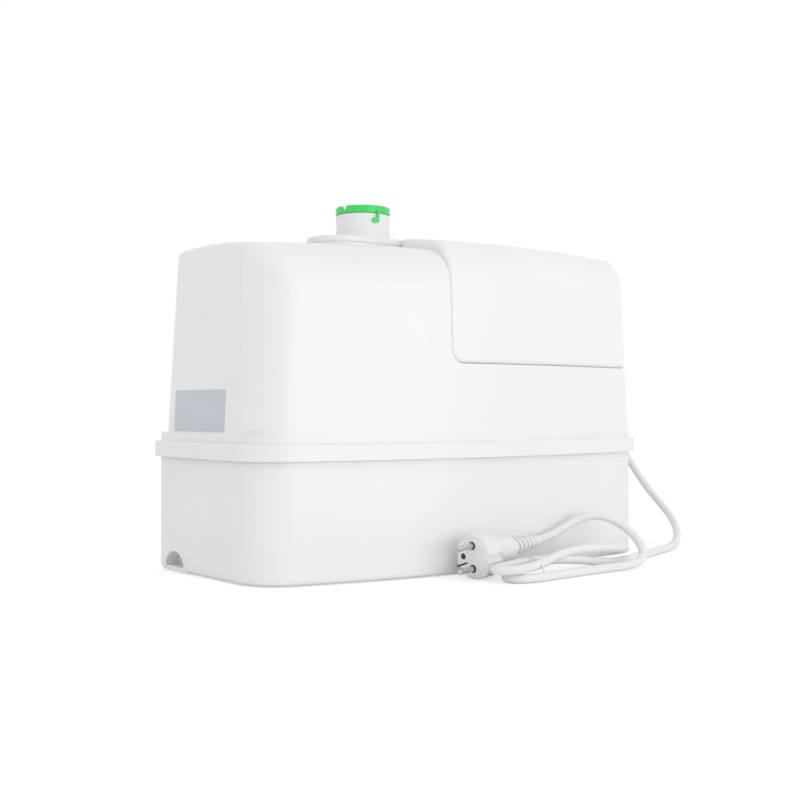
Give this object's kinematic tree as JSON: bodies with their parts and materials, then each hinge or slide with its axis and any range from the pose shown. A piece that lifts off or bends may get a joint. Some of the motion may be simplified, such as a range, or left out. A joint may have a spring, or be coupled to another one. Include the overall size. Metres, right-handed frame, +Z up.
{
  "type": "sewage lifting station",
  "caption": "Compact waste-water lifting station: bowed white tank and hood, domed motor cover, capped threaded discharge, pipe inlets, mains lead and plug.",
  "frame": {"origin": "on the floor under the middle of the station, its lead left out", "axes": "+Z up, -Y towards the bowed front, +X towards the end that the lead leaves"},
  "size_m": [0.5321, 0.2775, 0.319],
  "materials": {
    "white_housing": "moulded, satin gloss",
    "white_cover": "moulded, satin gloss",
    "white_fitting": "moulded",
    "green_cap": "moulded, translucent look",
    "white_cord": "smooth sheath",
    "white_plug": "moulded",
    "nickel": "nickel plated",
    "steel": "machined",
    "zinc_steel": "zinc plated",
    "black_rubber": "moulded",
    "grey_rubber": "moulded",
    "grey_pipe": "extruded",
    "dark_plastic": "moulded, glass filled",
    "aluminium": "die cast",
    "painted_can": "painted",
    "lamination": "stacked sheet",
    "winding": "enamelled wire",
    "capacitor_can": "moulded",
    "charcoal": "granular",
    "tie": "flat band"
  },
  "bodies": {
    "station": {"tank": "white_housing", "base_pads": "grey_rubber", "inlet_sleeve_side": "black_rubber", "inlet_sleeve_back": "black_rubber", "hinge_pins": "steel", "deck_gasket": "black_rubber", "deck_plate": "dark_plastic", "deck_screws": "zinc_steel", "strainer": "dark_plastic", "volute": "dark_plastic", "volute_screws": "zinc_steel", "pump_column": "dark_plastic", "shaft_seal": "black_rubber", "deck_grommet": "black_rubber", "discharge_pipe": "grey_pipe", "pipe_clamps": "zinc_steel", "valve_body": "grey_pipe", "discharge_fitting": "white_fitting", "plate_screws": "zinc_steel", "lower_shield": "aluminium", "upper_shield": "aluminium", "motor_can": "painted_can", "motor_bearings": "steel", "stator_stack": "lamination", "stator_windings": "winding", "motor_mounts": "black_rubber", "mount_screws": "zinc_steel", "capacitor": "capacitor_can", "capacitor_clip": "dark_plastic", "terminal_box": "dark_plastic", "terminal_lid": "dark_plastic", "dip_tube": "grey_pipe", "switch_dish_lower": "dark_plastic", "membrane": "black_rubber", "switch_dish_upper": "dark_plastic", "switch_body": "dark_plastic", "vent_housing": "dark_plastic", "vent_cartridge": "charcoal", "hood": "white_housing", "motor_cover": "white_cover", "cover_screws": "zinc_steel", "gland_body": "white_plug", "gland_nut": "white_plug", "gland_boot": "white_plug", "lead_tail": "white_cord", "lead": "white_cord", "cord_hank": "white_cord", "hank_tie": "tie", "plug_body": "white_plug", "plug_pins": "nickel"},
    "rotor": {"pump_shaft": "steel", "impeller": "dark_plastic", "rotor_core": "lamination"},
    "valve_flap": {"valve_flap": "black_rubber"},
    "side_flap": {"inlet_flap_side": "dark_plastic"},
    "back_flap": {"inlet_flap_back": "dark_plastic"},
    "cap": {"discharge_cap": "green_cap"},
    "inlet_plug": {"back_inlet_plug": "white_fitting"},
    "plunger": {"plunger": "dark_plastic"},
    "lever": {"lever": "steel"}
  },
  "joints": [
    {"name": "rotor_spin", "type": "hinge", "parent": "station", "child": "rotor", "pos_m": [0.105, -0.022, 0.1], "axis": [0, 0, 1], "continuous": true},
    {"name": "valve_swing", "type": "hinge", "parent": "station", "child": "valve_flap", "pos_m": [-0.083, 0.008, 0.224], "axis": [0, -1, 0], "range_deg": [0, 50]},
    {"name": "side_flap_swing", "type": "hinge", "parent": "station", "child": "side_flap", "pos_m": [0.1944, 0.025, 0.0806], "axis": [0, 1, 0], "range_deg": [0, 50]},
    {"name": "back_flap_swing", "type": "hinge", "parent": "station", "child": "back_flap", "pos_m": [-0.1, 0.0695, 0.0806], "axis": [-1, 0, 0], "range_deg": [0, 50]},
    {"name": "cap_lift", "type": "slide", "parent": "station", "child": "cap", "axis": [0, 0, 1], "range_m": [0, 0.06]},
    {"name": "plug_pull", "type": "slide", "parent": "station", "child": "inlet_plug", "axis": [0, 1, 0], "range_m": [0, 0.06]},
    {"name": "plunger_lift", "type": "slide", "parent": "station", "child": "plunger", "axis": [0, 0, 1], "range_m": [0, 0.0025], "stiffness_N_per_m": 200},
    {"name": "lever_tilt", "type": "hinge", "parent": "station", "child": "lever", "pos_m": [-0.164, 0.02, 0.142], "axis": [0, -1, 0], "range_deg": [0, 11.2]}
  ],
  "couplings": [
    {"joint": "lever_tilt", "follows": "plunger_lift", "rad_per_m": 76.92}
  ]
}
